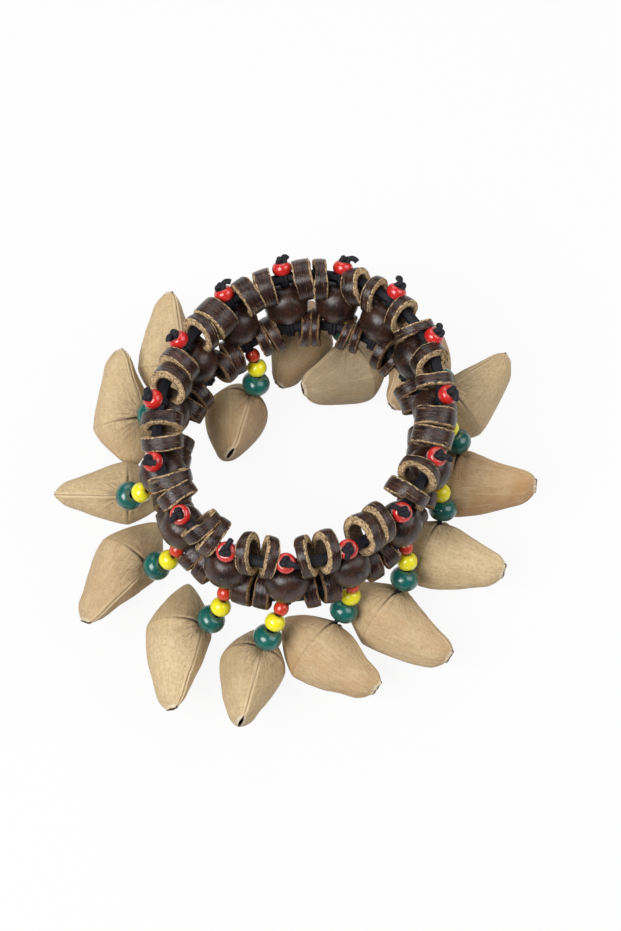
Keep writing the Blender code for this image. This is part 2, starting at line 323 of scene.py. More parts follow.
class Clay:
    """A mesh in the making."""

    def __init__(self, *marks: str) -> None:
        """Starts empty, with the numbers that its vertices will carry."""
        self.bm = bmesh.new()
        self.marks = {name: self.bm.verts.layers.float.new(name) for name in marks}

    def turn(self, profile: Profile, steps: int) -> list[bmesh.types.BMVert]:
        """Spins a loop of (along, radius) points about local Z.

        Args:
            profile: The points.
            steps: Facets round the axis.

        Returns:
            The new vertices.
        """
        before = len(self.bm.verts)
        verts = [self.bm.verts.new((radius, 0, along)) for along, radius in profile]
        edges = [self.bm.edges.new(pair) for pair in zip(verts, verts[1:] + verts[:1])]
        bmesh.ops.spin(self.bm, geom=verts + edges, axis=(0, 0, 1), cent=(0, 0, 0),
                       angle=2 * math.pi, steps=steps, use_merge=True)
        self.bm.verts.ensure_lookup_table()
        return self.bm.verts[before:]

    def tube(self, points: Sequence[Vector], radius: float, sides: int, closed: bool = False,
             ribs: int = 0, swell: float = 0.0) -> None:
        """Bridges circles along a path.

        Args:
            points: The path.
            radius: The radius at the path's start.
            sides: Facets round the tube.
            closed: Whether the path is a loop.
            ribs: How many strands show on the tube's outside.
            swell: The share by which the tube is thicker at the path's end.
        """
        count = len(points)
        near = Vector((0, 0, 1))
        loops = []
        for index, spot in enumerate(points):
            ahead = points[(index + 1) % count] if closed else points[min(index + 1, count - 1)]
            behind = points[index - 1] if closed or index else points[0]
            place = facing(ahead - behind, spot, near if closed else loops[-1][1] if loops else None)
            size = radius * (1 + swell * (index / max(count - 1, 1)))
            circle = bmesh.ops.create_circle(self.bm, segments=sides, radius=size)["verts"]
            if ribs:
                for vert in circle:
                    turned = math.atan2(vert.co.y, vert.co.x)
                    vert.co *= RIB_ROOT + RIB_RISE * abs(math.cos(turned * ribs / 2))
            bmesh.ops.transform(self.bm, matrix=place, verts=circle)
            edges = list(dict.fromkeys(edge for vert in circle for edge in vert.link_edges))
            loops.append((edges, place.col[0].to_3d()))
        pairs = list(zip(loops, loops[1:]))
        if closed:
            pairs.append((loops[-1], loops[0]))
        for one, two in pairs:
            bmesh.ops.bridge_loops(self.bm, edges=one[0] + two[0])
        if not closed:
            bmesh.ops.holes_fill(
                self.bm, edges=[edge for edge in self.bm.edges if edge.is_boundary], sides=0)

    def mark(self, vert: bmesh.types.BMVert, values: dict[str, float]) -> None:
        """Writes numbers on a vertex for a finish to read."""
        for name, value in values.items():
            vert[self.marks[name]] = value

    def move(self, verts: Sequence[bmesh.types.BMVert], place: Matrix) -> None:
        """Carries vertices to their place."""
        bmesh.ops.transform(self.bm, matrix=place, verts=list(verts))

    def fire(self, name: str, finish: bpy.types.Material, sharp: float = 50.0) -> bpy.types.Object:
        """Turns the mesh into a finished piece.

        Args:
            name: The piece's name.
            finish: Its material.
            sharp: The angle, in degrees, past which an edge stays sharp.

        Returns:
            The object.
        """
        bmesh.ops.recalc_face_normals(self.bm, faces=self.bm.faces)
        if self.bm.calc_volume(signed=True) < 0:
            bmesh.ops.reverse_faces(self.bm, faces=self.bm.faces)
        mesh = bpy.data.meshes.new(name)
        self.bm.to_mesh(mesh)
        self.bm.free()
        mesh.shade_smooth()
        mesh.set_sharp_from_angle(angle=math.radians(sharp))
        mesh.materials.append(finish)
        made = bpy.data.objects.new(name, mesh)
        bpy.context.scene.collection.objects.link(made)
        return made


def hand_over(piece: bpy.types.Object, body: str, slot: str, *nodes: str) -> None:
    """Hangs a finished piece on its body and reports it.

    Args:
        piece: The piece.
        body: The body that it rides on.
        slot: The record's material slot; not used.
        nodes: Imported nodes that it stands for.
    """
    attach(piece, body)
    if nodes:
        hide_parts(*nodes)
    LOG.info("%s rides on %s with %d faces", piece.name, body, len(piece.data.polygons))


class Shading:
    """Adds shader nodes to a tree."""

    def __init__(self, tree: bpy.types.NodeTree) -> None:
        """Works on a material's or a group's tree."""
        self.tree = tree

    def add(self, kind: str, feeds: dict[int | str, Any] | None = None,
            **settings: Any) -> bpy.types.Node:
        """Adds a node.

        Args:
            kind: The node's type.
            feeds: Values or sockets for its inputs, by name or number.
            settings: The node's own settings.

        Returns:
            The node.
        """
        made = self.tree.nodes.new(kind)
        for key, value in settings.items():
            setattr(made, key, value)
        for key, value in (feeds or {}).items():
            self.feed(made.inputs[key], value)
        return made

    def feed(self, socket: bpy.types.NodeSocket, value: Any) -> None:
        """Links a socket to an input, or sets the input's value.

        Args:
            socket: The input.
            value: A socket, a colour or a number.
        """
        if isinstance(value, bpy.types.NodeSocket):
            self.tree.links.new(value, socket)
        elif isinstance(value, tuple) and len(value) == 3 and socket.type == "RGBA":
            socket.default_value = (*value, 1.0)
        else:
            socket.default_value = value

    def place(self) -> bpy.types.NodeSocket:
        """Object coordinates."""
        return self.add("ShaderNodeTexCoord").outputs["Object"]

    def number(self, name: str) -> bpy.types.NodeSocket:
        """A number written on the mesh."""
        return self.add("ShaderNodeAttribute", attribute_name=name).outputs["Fac"]

    def calc(self, operation: str, one: Any, two: Any = 0.0) -> bpy.types.NodeSocket:
        """Arithmetic on two values."""
        return self.add("ShaderNodeMath", {0: one, 1: two}, operation=operation).outputs[0]

    def times(self, one: Any, two: Any) -> bpy.types.NodeSocket:
        """The product of two values."""
        return self.calc("MULTIPLY", one, two)

    def plus(self, one: Any, two: Any) -> bpy.types.NodeSocket:
        """The sum of two values."""
        return self.calc("ADD", one, two)

    def minus(self, one: Any, two: Any) -> bpy.types.NodeSocket:
        """The difference of two values."""
        return self.calc("SUBTRACT", one, two)

    def ease(self, value: Any, low: float, high: float, start: float = 0.0,
             end: float = 1.0) -> bpy.types.NodeSocket:
        """Eases a value from one range to another.

        Args:
            value: What is mapped.
            low: Where the output is at its start.
            high: Where the output is at its end.
            start: The output at the low value.
            end: The output at the high value.

        Returns:
            The mapped value.
        """
        return self.add("ShaderNodeMapRange", {
            "Value": value, "From Min": low, "From Max": high, "To Min": start, "To Max": end,
        }, interpolation_type="SMOOTHSTEP").outputs[0]

    def join(self, x: Any, y: Any, z: Any) -> bpy.types.NodeSocket:
        """A vector from three values."""
        return self.add("ShaderNodeCombineXYZ", {0: x, 1: y, 2: z}).outputs[0]

    def cloud(self, vector: Any, scale: float, detail: float = 4.0, rough: float = 0.55,
              warp: float = 0.0) -> bpy.types.NodeSocket:
        """Soft noise.

        Args:
            vector: Where it is read.
            scale: Spots to a metre.
            detail: Finer layers.
            rough: The strength of the finer layers.
            warp: How far the noise is stirred.

        Returns:
            A value around a half.
        """
        return self.add("ShaderNodeTexNoise", {
            "Vector": vector, "Scale": scale, "Detail": detail, "Roughness": rough,
            "Distortion": warp}).outputs["Fac"]

    def mix(self, share: Any, one: Any, two: Any) -> bpy.types.NodeSocket:
        """Blends two colours."""
        return self.add("ShaderNodeMix", {0: share, 6: one, 7: two}, data_type="RGBA").outputs[2]

    def layer(self, colour: Any, tone: Colour, mask: Any, share: Any) -> bpy.types.NodeSocket:
        """Lays a share of a tone over a colour where a mask shows it."""
        return self.mix(self.times(mask, share), colour, tone)

    def group(self, group: bpy.types.NodeTree, feeds: dict[str, Any]) -> bpy.types.NodeSocket:
        """The mask of a shared effect."""
        return self.add("ShaderNodeGroup", feeds, node_tree=group).outputs["Mask"]

    def bump(self, height: Any, depth: float) -> bpy.types.NodeSocket:
        """A normal from a height map.

        Args:
            height: The height, from 0 to 1.
            depth: The full height in metres.

        Returns:
            The normal.
        """
        return self.add("ShaderNodeBump", {
            "Height": height, "Distance": depth, "Strength": 1.0}).outputs["Normal"]


class Effects:
    """Effects that several finishes share, each built once as a node group."""

    def __init__(self) -> None:
        """Builds the groups."""
        self.mottle = self._group(
            "mottling", {"Scale": 300.0, "Contrast": 0.2}, self._mottling)
        self.flecks = self._group("flecks", {"Scale": 2000.0, "Share": 0.2}, self._flecks)
        self.wear = self._group("edge_wear", {"Edge": 0.0, "Scale": 900.0, "Amount": 0.5}, self._wear)

    @staticmethod
    def _group(name: str, values: dict[str, float],
               fill: Callable[[Shading, bpy.types.Node], bpy.types.NodeSocket]) -> bpy.types.NodeTree:
        """Makes a group with a vector, some values and one mask.

        Args:
            name: The group's name.
            values: Its number inputs with their usual values.
            fill: Adds the nodes and gives the mask.

        Returns:
            The group.
        """
        tree = bpy.data.node_groups.new(name, "ShaderNodeTree")
        tree.interface.new_socket(name="Vector", in_out="INPUT", socket_type="NodeSocketVector")
        for key, value in values.items():
            socket = tree.interface.new_socket(name=key, in_out="INPUT", socket_type="NodeSocketFloat")
            socket.default_value = value
        tree.interface.new_socket(name="Mask", in_out="OUTPUT", socket_type="NodeSocketFloat")
        shading = Shading(tree)
        mask = fill(shading, shading.add("NodeGroupInput"))
        shading.add("NodeGroupOutput", {"Mask": mask})
        return tree

    @staticmethod
    def _mottling(shading: Shading, given: bpy.types.Node) -> bpy.types.NodeSocket:
        """Soft patches with ragged borders.

        Args:
            shading: The group's nodes.
            given: The group's inputs.

        Returns:
            The mask.
        """
        value = shading.cloud(given.outputs["Vector"], given.outputs["Scale"],
                              detail=6.0, rough=0.62, warp=0.4)
        spread = shading.calc("DIVIDE", shading.minus(value, 0.5), given.outputs["Contrast"])
        return shading.ease(spread, -1.0, 1.0)

    @staticmethod
    def _flecks(shading: Shading, given: bpy.types.Node) -> bpy.types.NodeSocket:
        """Small scattered specks.

        Args:
            shading: The group's nodes.
            given: The group's inputs.

        Returns:
            The mask.
        """
        value = shading.cloud(given.outputs["Vector"], given.outputs["Scale"],
                              detail=2.0, rough=0.5)
        edge = shading.minus(0.75, shading.times(given.outputs["Share"], 0.5))
        return shading.ease(shading.minus(value, edge), -0.03, 0.05)

    @staticmethod
    def _wear(shading: Shading, given: bpy.types.Node) -> bpy.types.NodeSocket:
        """Bare patches along edges, broken up by noise.

        Args:
            shading: The group's nodes.
            given: The group's inputs.

        Returns:
            The mask.
        """
        value = shading.cloud(given.outputs["Vector"], given.outputs["Scale"],
                              detail=5.0, rough=0.65)
        near = shading.times(given.outputs["Edge"], given.outputs["Amount"])
        return shading.ease(shading.plus(near, shading.minus(value, 0.5)), 0.22, 0.38)


@dataclass(frozen=True)
class Finish:
    """A surface: its name, gloss and two main colours."""

    name: str
    colour: Colour
    second: Colour
    rough: float

    def make(self, effects: Effects) -> bpy.types.Material:
        """Builds the material.

        Args:
            effects: The shared effects.

        Returns:
            The material.
        """
        made = bpy.data.materials.new(self.name)
        made.use_nodes = True
        shading = Shading(made.node_tree)
        shader = made.node_tree.nodes["Principled BSDF"]
        for key, value in self.look(shading, effects).items():
            shading.feed(shader.inputs[key], value)
        return made

    def look(self, shading: Shading, effects: Effects) -> dict[str, Any]:
        """What a plain surface gives its shader; each finish has its own."""
        return {"Base Color": self.colour, "Roughness": self.rough}


class Nutshell(Finish):
    """Dry tan shell with specks, wrinkles round the thread hole, a pale keel, a dark crease and painted
    shade.
    """

    fibre_dark: Colour = (0.35, 0.245, 0.13)
    fibre_pale: Colour = (0.70, 0.545, 0.345)
    grit_dark: Colour = (0.38, 0.265, 0.14)
    browned: Colour = (0.45, 0.25, 0.11)
    # Painted shade: a darker grey laid, by each nut's own share, on the nuts that lie under the band.
    band_shade: Colour = (0.27, 0.205, 0.13)
    speck: Colour = (0.24, 0.15, 0.075)
    vein: Colour = (0.72, 0.575, 0.36)
    # Painted shade: the nut darkens towards its thread hole.
    hole_shade: Colour = (0.30, 0.20, 0.11)
    wrinkle: Colour = (0.20, 0.12, 0.06)
    keel_lip: Colour = (0.72, 0.56, 0.35)
    keel_seam: Colour = (0.22, 0.13, 0.065)
    crease: Colour = (0.035, 0.02, 0.012)
    torn_lip: Colour = (0.76, 0.66, 0.50)
    hollow: Colour = (0.10, 0.055, 0.038)

    def look(self, shading: Shading, effects: Effects) -> dict[str, Any]:
        """Adds the pattern's nodes.

        Args:
            shading: The material's nodes.
            effects: The shared effects.

        Returns:
            What the shader's inputs are given, by name.
        """
        place = shading.place()
        along, keel = shading.number("shell_along"), shading.number("shell_keel")
        hole, turn = shading.number("shell_hole"), shading.number("shell_turn")
        seed, around = shading.number("shell_seed"), shading.number("shell_round")
        beside = shading.calc("ABSOLUTE", keel)

        drawn_out = shading.join(shading.times(along, 0.14), around, seed)
        fibre = shading.cloud(drawn_out, scale=1500.0, detail=5.0, rough=0.65, warp=0.4)
        grit = shading.cloud(place, scale=1300.0, detail=6.0, rough=0.75)
        mottle = shading.group(effects.mottle, {"Vector": place, "Scale": 420.0, "Contrast": 0.22})
        broad = shading.group(effects.mottle, {"Vector": place, "Scale": 80.0, "Contrast": 0.15})
        specks = shading.group(effects.flecks, {"Vector": place, "Scale": 1900.0, "Share": 0.30})
        fanned = shading.join(shading.times(turn, 0.02), shading.times(hole, 0.3), seed)
        rays = shading.cloud(fanned, scale=900.0, detail=4.0, rough=0.6)
        # Nearness to the thread hole; it lays painted shade there and keeps the wrinkles close to it.
        near = shading.ease(hole, 0.002, 0.013, 1.0, 0.0)
        lines = shading.times(shading.ease(rays, 0.50, 0.64), near)
        long_drawn = shading.join(shading.times(along, 0.09), around, seed)
        course = shading.cloud(long_drawn, scale=520.0, detail=2.0, rough=0.5, warp=0.3)
        off_vein = shading.calc("ABSOLUTE", shading.minus(course, 0.5))
        veins = shading.ease(off_vein, 0.0, 0.035, 1.0, 0.0)
        blotch = shading.ease(broad, 0.0, 1.0, 0.45, 1.0)
        lip = shading.times(shading.ease(beside, 0.0004, 0.0012, 1.0, 0.0),
                            shading.ease(along, 0.001, 0.006))
        seam = shading.times(shading.ease(beside, 0.00008, 0.00028, 1.0, 0.0),
                             shading.ease(along, 0.0005, 0.004))
        off_crease = shading.calc("ABSOLUTE", along)
        crack = shading.times(shading.ease(off_crease, 0.00012, 0.00045, 1.0, 0.0),
                              shading.ease(hole, 0.003, 0.012, 1.0, 0.18))
        torn = shading.times(shading.number("shell_lip"), shading.ease(grit, 0.35, 0.6, 1.0, 0.45))

        colour = shading.layer(self.colour, self.second, mottle, 0.6)
        colour = shading.mix(shading.ease(fibre, 0.50, 0.70, 0.0, 0.24), colour, self.fibre_dark)
        colour = shading.mix(shading.ease(fibre, 0.30, 0.46, 0.28, 0.0), colour, self.fibre_pale)
        colour = shading.mix(shading.ease(grit, 0.48, 0.62, 0.0, 0.55), colour, self.grit_dark)
        for tone, mask, share in (
            (self.browned, blotch, shading.number("shell_brown")),
            # painted shade greys the nuts that lie under the band
            (self.band_shade, shading.number("shell_band_shade"), 0.8),
            (self.speck, specks, 0.2), (self.vein, veins, 0.24),
            # painted shade darkens the skin towards the thread hole
            (self.hole_shade, near, 0.28), (self.wrinkle, lines, 0.55),
            (self.keel_lip, lip, 0.45), (self.keel_seam, seam, 0.55), (self.crease, crack, 0.9),
        ):
            colour = shading.layer(colour, tone, mask, share)
        colour = shading.mix(torn, colour, self.torn_lip)
        colour = shading.mix(shading.number("shell_inside"), colour, self.hollow)

        height = shading.plus(shading.times(fibre, 0.4), shading.times(grit, 0.75))
        height = shading.minus(height, shading.times(lines, 0.4))
        height = shading.plus(height, shading.times(veins, 0.2))
        return {
            "Base Color": colour,
            "Roughness": shading.ease(fibre, 0.3, 0.7, self.rough - 0.1, self.rough + 0.1),
            "Normal": shading.bump(height, 0.3 * MM),
            "Specular IOR Level": 0.35,
        }


class Coconut(Finish):
    """Polished dark coconut shell with bare fibrous cut faces, worn edges and painted shade in the bore."""

    streak: Colour = (0.060, 0.025, 0.017)
    stain: Colour = (0.006, 0.003, 0.003)
    fibre: Colour = (0.22, 0.115, 0.048)
    pit: Colour = (0.04, 0.018, 0.010)
    # Painted shade: the dark laid over the bare wall of the bore.
    bore: Colour = (0.035, 0.017, 0.010)

    def look(self, shading: Shading, effects: Effects) -> dict[str, Any]:
        """Adds the pattern's nodes.

        Args:
            shading: The material's nodes.
            effects: The shared effects.

        Returns:
            What the shader's inputs are given, by name.
        """
        place = shading.place()
        skin, edge, inner, around, along, seed = (shading.number(key) for key in RING_MARKS)
        drawn_out = shading.join(shading.times(around, 0.07), along, seed)
        bands = shading.cloud(drawn_out, scale=1900.0, detail=5.0, rough=0.7, warp=0.15)
        patches = shading.group(effects.mottle, {"Vector": place, "Scale": 330.0, "Contrast": 0.16})
        fibres = shading.cloud(place, scale=1700.0, detail=6.0, rough=0.75, warp=0.8)
        pits = shading.group(effects.flecks, {"Vector": place, "Scale": 1900.0, "Share": 0.34})
        wear = shading.group(
            effects.wear, {"Vector": place, "Edge": edge, "Scale": 700.0, "Amount": 0.45})

        dark = shading.mix(shading.ease(bands, 0.44, 0.62), self.streak, self.colour)
        dark = shading.layer(dark, self.stain, patches, 0.7)
        bare = shading.mix(shading.ease(fibres, 0.36, 0.60), self.fibre, self.second)
        bare = shading.layer(bare, self.pit, pits, 0.9)
        # Painted shade darkens the bare wall of the bore.
        bare = shading.layer(bare, self.bore, inner, 0.85)
        scuffs = shading.times(shading.ease(bands, 0.33, 0.41, 1.0, 0.0), 0.7)
        shown = shading.calc("MAXIMUM", shading.calc("MAXIMUM", wear, scuffs), shading.minus(1.0, skin))
        dull = shading.plus(shown, shading.times(bands, 0.2))
        height = shading.plus(shading.times(bands, 0.7), shading.times(shading.times(fibres, shown), 1.3))
        return {
            "Base Color": shading.mix(shown, dark, bare),
            "Roughness": shading.ease(dull, 0.0, 1.0, self.rough, 0.85),
            "Normal": shading.bump(height, 0.26 * MM),
            "Specular IOR Level": 0.4,
        }


class DarkWood(Finish):
    """Satin dark wood with reddish patches and fine grain along the bore."""

    grain_dark: Colour = (0.005, 0.003, 0.003)
    chip: Colour = (0.20, 0.11, 0.06)

    def look(self, shading: Shading, effects: Effects) -> dict[str, Any]:
        """Adds the pattern's nodes.

        Args:
            shading: The material's nodes.
            effects: The shared effects.

        Returns:
            What the shader's inputs are given, by name.
        """
        place = shading.place()
        along, around = shading.number("bead_along"), shading.number("bead_around")
        drawn_out = shading.join(around, shading.times(along, 0.16), shading.number("bead_seed"))
        grain = shading.cloud(drawn_out, scale=1100.0, detail=6.0, rough=0.68, warp=0.5)
        red = shading.group(effects.mottle, {"Vector": place, "Scale": 130.0, "Contrast": 0.12})
        chips = shading.group(effects.flecks, {"Vector": place, "Scale": 1500.0, "Share": 0.2})
        colour = shading.mix(shading.ease(grain, 0.38, 0.62), self.colour, self.grain_dark)
        colour = shading.layer(colour, self.second, red, 0.7)
        return {
            "Base Color": shading.layer(colour, self.chip, chips, 0.35),
            "Roughness": shading.ease(grain, 0.3, 0.7, self.rough - 0.06, self.rough + 0.1),
            "Normal": shading.bump(grain, 0.14 * MM),
            "Specular IOR Level": 0.4,
            "Coat Weight": 0.12,
            "Coat Roughness": 0.2,
        }


class PaintedBead(Finish):
    """Glossy painted bead with brush-fine streaks and rubbed rims."""

    rubbed: Colour = (0.20, 0.15, 0.09)

    def look(self, shading: Shading, effects: Effects) -> dict[str, Any]:
        """Adds the pattern's nodes.

        Args:
            shading: The material's nodes.
            effects: The shared effects.

        Returns:
            What the shader's inputs are given, by name.
        """
        place = shading.place()
        along, around = shading.number("bead_along"), shading.number("bead_around")
        edge = shading.number("bead_edge")
        drawn_out = shading.join(around, shading.times(along, 0.3), shading.number("bead_seed"))
        streaks = shading.cloud(drawn_out, scale=1000.0, detail=4.0, rough=0.6)
        mottle = shading.group(effects.mottle, {"Vector": place, "Scale": 600.0, "Contrast": 0.25})
        wear = shading.group(
            effects.wear, {"Vector": place, "Edge": edge, "Scale": 1500.0, "Amount": 0.34})
        colour = shading.mix(shading.ease(streaks, 0.42, 0.70, 0.0, 0.8), self.colour, self.second)
        colour = shading.layer(colour, self.second, mottle, 0.25)
        return {
            "Base Color": shading.layer(colour, self.rubbed, wear, 0.4),
            "Roughness": shading.ease(mottle, 0.0, 1.0, self.rough, self.rough + 0.12),
            "Normal": shading.bump(streaks, 0.025 * MM),
            "Coat Weight": 0.5,
            "Coat Roughness": 0.12,
        }


class BlackCord(Finish):
    """Black waxed thread and elastic with a woven cover."""

    dusty: Colour = (0.018, 0.018, 0.026)

    def look(self, shading: Shading, effects: Effects) -> dict[str, Any]:
        """Adds the pattern's nodes.

        Args:
            shading: The material's nodes.
            effects: The shared effects.

        Returns:
            What the shader's inputs are given, by name.
        """
        place = shading.place()
        weave = shading.cloud(place, scale=3800.0, detail=3.0, rough=0.6)
        dust = shading.group(effects.mottle, {"Vector": place, "Scale": 900.0, "Contrast": 0.2})
        colour = shading.mix(shading.ease(weave, 0.40, 0.68), self.colour, self.second)
        return {
            "Base Color": shading.layer(colour, self.dusty, dust, 0.25),
            "Roughness": shading.ease(weave, 0.3, 0.7, self.rough - 0.12, self.rough + 0.1),
            "Normal": shading.bump(weave, 0.12 * MM),
            "Specular IOR Level": 0.3,
        }


PAINTS = {
    "stopper": PaintedBead("stopper_red", (0.56, 0.020, 0.018), (0.42, 0.012, 0.012), 0.16),
    "red": PaintedBead("bead_red", (0.60, 0.045, 0.012), (0.46, 0.022, 0.010), 0.22),
    "yellow": PaintedBead("bead_yellow", (0.82, 0.75, 0.016), (0.74, 0.63, 0.010), 0.20),
    "green": PaintedBead("bead_green", (0.004, 0.118, 0.095), (0.003, 0.052, 0.045), 0.22),
}


@dataclass
class Elastics:
    """The two ribbed elastic cords."""

    band: Band
    radius: float = 1.5 * MM
    steps: int = 240
    sides: int = 20
    ribs: int = 7

    def build(self, finish: bpy.types.Material) -> None:
        """Makes both cords.

        Args:
            finish: Their material.
        """
        angles = [2 * math.pi * step / self.steps for step in range(self.steps)]
        for row in Row:
            clay = Clay()
            points = [self.band.point(row, angle) for angle in angles]
            clay.tube(points, self.radius, self.sides, True, self.ribs)
            hand_over(clay.fire(f"{row.value}_elastic", finish), "band", row.slot)


@dataclass
class Rings:
    """The coconut-shell rings, two between each pair of drops on each row."""

    band: Band
    row: Row
    pairs: Sequence[tuple[float, float, float]]
    radius: float
    thick: float
    hang: float
    inset: float
    bore: float = 3.2 * MM
    gap: float = 0.3 * MM
    stopper: float = 2.6 * MM
    slimming: float = 1.1
    touching: float = 0.8
    yaw: float = 9.0
    vary: float = 0.05
    lower_keys: int = 50
    steps: int = 44

    def shift(self) -> float:
        """How far a ring's middle lies from the elastic that its bore hangs on."""
        return self.bore - self.band.elastic

    def room(self, pitch: float) -> float:
        """The thickness that two stoppers leave for a ring."""
        return min(self.thick, pitch / 2 - self.stopper - 2 * self.gap)

    def profile(self, half: float) -> Profile:
        """A ring's cut section, with a slightly bellied outside and broken edges.

        Args:
            half: Half the ring's thickness.

        Returns:
            The section's points as (along, radius).
        """
        outer, bore = self.radius, self.bore
        side = [
            (half - 0.5 * MM, bore), (half - 0.12 * MM, bore + 0.12 * MM), (half, bore + 0.4 * MM),
            (half, bore + 0.75 * MM), (half, outer - 0.9 * MM), (half, outer - 0.5 * MM),
            (half - 0.06 * MM, outer - 0.2 * MM), (half - 0.25 * MM, outer - 0.03 * MM),
            (half - 0.55 * MM, outer), (half * 0.35, outer + 0.08 * MM),
        ]
        return [(-along, radius) for along, radius in side] + side[::-1]

    def shape(self, clay: Clay, half: float, seed: float, place: Matrix) -> None:
        """Spins one ring, tears its cut faces, chips it and puts it on its row.

        Args:
            clay: The mesh that takes the ring.
            half: Half the ring's thickness.
            seed: A number that makes the ring unlike the others.
            place: Where it goes.
        """
        verts = clay.turn(self.profile(half), self.steps)
        offset = Vector((seed * 7.3, seed * 3.1, seed * 5.7))
        chip = Vector((math.cos(seed * 40), math.sin(seed * 40), 0))
        for vert in verts:
            radius = math.hypot(vert.co.x, vert.co.y)
            out = Vector((vert.co.x, vert.co.y, 0)).normalized()
            turned = math.atan2(out.y, out.x)
            side = max(min(vert.co.z / half, 1.0), -1.0)
            skin = smooth(radius, self.radius - 0.55 * MM, self.radius - 0.25 * MM)
            clay.mark(vert, {
                "ring_skin": skin,
                "ring_edge": skin * smooth(abs(vert.co.z), half - 0.8 * MM, half - 0.1 * MM),
                "ring_bore": 1 - smooth(radius, self.bore + 0.1 * MM, self.bore + 0.7 * MM),
                "ring_around": turned * self.radius,
                "ring_along": vert.co.z,
                "ring_seed": seed,
            })
            rough = noise.noise(vert.co * 1100 + offset) + 0.6 * noise.noise(vert.co * 2300 + offset)
            lump = noise.noise(vert.co * 240 + offset)
            broken = smooth(out.dot(chip), 0.55, 0.95) * max(side * (1 if seed > 0.5 else -1), 0.0)
            wave = math.cos(2 * turned + seed * 9)
            vert.co += out * (lump * 0.25 + wave * 0.14 + rough * (1 - skin) * 0.13) * MM
            vert.co.z += side * (lump * 0.3 + rough * 0.2 * (1 - skin)) * MM
            vert.co.z -= side * abs(side) ** 3 * broken * (0.5 + seed) * 0.9 * MM
        clay.move(verts, place)

    def pair(self, index: int) -> Iterator[tuple[Matrix, float]]:
        """Lays two rings against each other in a gap, tilted so that a cut face shows.

        Args:
            index: The gap, counted from the first drop.

        Returns:
            The place and half thickness of both.
        """
        ends = [self.band.point(self.row, self.band.angle(index + step)) for step in (0, 1)]
        pitch = (ends[0] - ends[1]).length
        first_key = index * 2 + (0 if self.row is Row.UPPER else self.lower_keys)
        first, second, share = self.pairs[index % len(self.pairs)]
        tilts = [math.radians(first), math.radians(second)]
        apart = abs(tilts[0] - tilts[1]) / 2
        leaning = math.sin(max(apart, sum(map(abs, tilts)) / 4))
        slim = self.room(pitch) * (1 - self.slimming * leaning)
        halves = [slim * share, slim * (1 - share)]
        widths = [half / math.cos(apart) + self.touching * self.radius * math.sin(apart)
                  for half in halves]
        for number, side in enumerate((-1, 1)):
            key = first_key + number
            aside = (side * widths[number] + (widths[0] - widths[1]) / 2) / pitch
            angle = self.band.angle(index + 0.5 + aside)
            out, line = self.band.away(self.row, angle), -self.band.along(self.row, angle)
            yaw = math.radians(stray(self.yaw, key, Trait.RING_YAW))
            line = Matrix.Rotation(yaw, 3, out) @ line
            line = Matrix.Rotation(tilts[number], 3, line.cross(out)) @ line
            rest = self.band.point(self.row, angle)
            inward = Vector((-rest.x, -rest.y, 0)).normalized()
            spot = rest + out * self.shift() * self.hang + inward * self.inset
            size = 1 + stray(self.vary, key, Trait.RING_SIZE)
            yield facing(line, spot, out) @ Matrix.Diagonal((size, size, 1, 1)), halves[number]

    def build(self, finish: bpy.types.Material) -> None:
        """Makes the rings of the row.

        Args:
            finish: Their material.
        """
        clay = Clay(*RING_MARKS)
        trait = Trait.UPPER_RING if self.row is Row.UPPER else Trait.LOWER_RING
        for index in range(self.band.drops):
            for number, (place, half) in enumerate(self.pair(index)):
                seed = chance(index * 2 + number, trait)
                self.shape(clay, half, seed, place @ Matrix.Rotation(seed * 6, 4, "Z"))
        piece = clay.fire(f"{self.row.value}_rings", finish, 40)
        hand_over(piece, "band", self.row.slot, f"{self.row.value}_row")


@dataclass
class Bead:
    """A turned bead with a bore, rounded between its two eyes."""

    radius: float
    thick: float
    bore: float
    belly: float
    steps: int
    rim: float = 0.12 * MM
    flat: float = 0.3 * MM
    curve: int = 16
    lumps: float = 0.02

    def shape(self, clay: Clay, place: Matrix, seed: float) -> None:
        """Spins the bead, marks it for its finish and puts it on its thread.

        Args:
            clay: The mesh that takes the bead.
            place: Where it goes; local Z is the bore.
            seed: A number that makes the bead unlike the others.
        """
        half = self.thick / 2
        eye = self.bore + 0.35 * (self.radius - self.bore) * (1 - self.belly)
        profile = [(-half * 0.7, self.bore), (-half * 0.97, self.bore + self.rim)]
        for step in range(self.curve + 1):
            angle = math.pi * (step / self.curve - 0.5)
            bulge = math.cos(angle) ** (2 - 1.2 * self.belly)
            radius = eye + self.flat + (self.radius - eye - self.flat) * bulge
            profile.append((half * math.sin(angle), radius))
        profile += [(half * 0.97, self.bore + self.rim), (half * 0.7, self.bore)]
        verts = clay.turn(profile, self.steps)
        offset = Vector((seed * 4.1, seed * 8.3, seed * 2.7))
        for vert in verts:
            lump = noise.noise(vert.co * (0.9 / self.radius) + offset)
            vert.co += vert.co.normalized() * lump * self.lumps * self.radius
            clay.mark(vert, {
                "bead_along": vert.co.z,
                "bead_around": math.atan2(vert.co.y, vert.co.x) * self.radius,
                "bead_edge": smooth(abs(vert.co.z), half * 0.75, half),
                "bead_seed": seed,
            })
        clay.move(verts, place)


STRAND_BEADS = {
    "red": Bead(2.05 * MM, 3.3 * MM, bore=0.75 * MM, belly=0.62, steps=32),
    "yellow": Bead(2.8 * MM, 4.4 * MM, bore=0.8 * MM, belly=0.66, steps=36),
    "green": Bead(3.95 * MM, 5.7 * MM, bore=0.9 * MM, belly=0.8, steps=40),
}


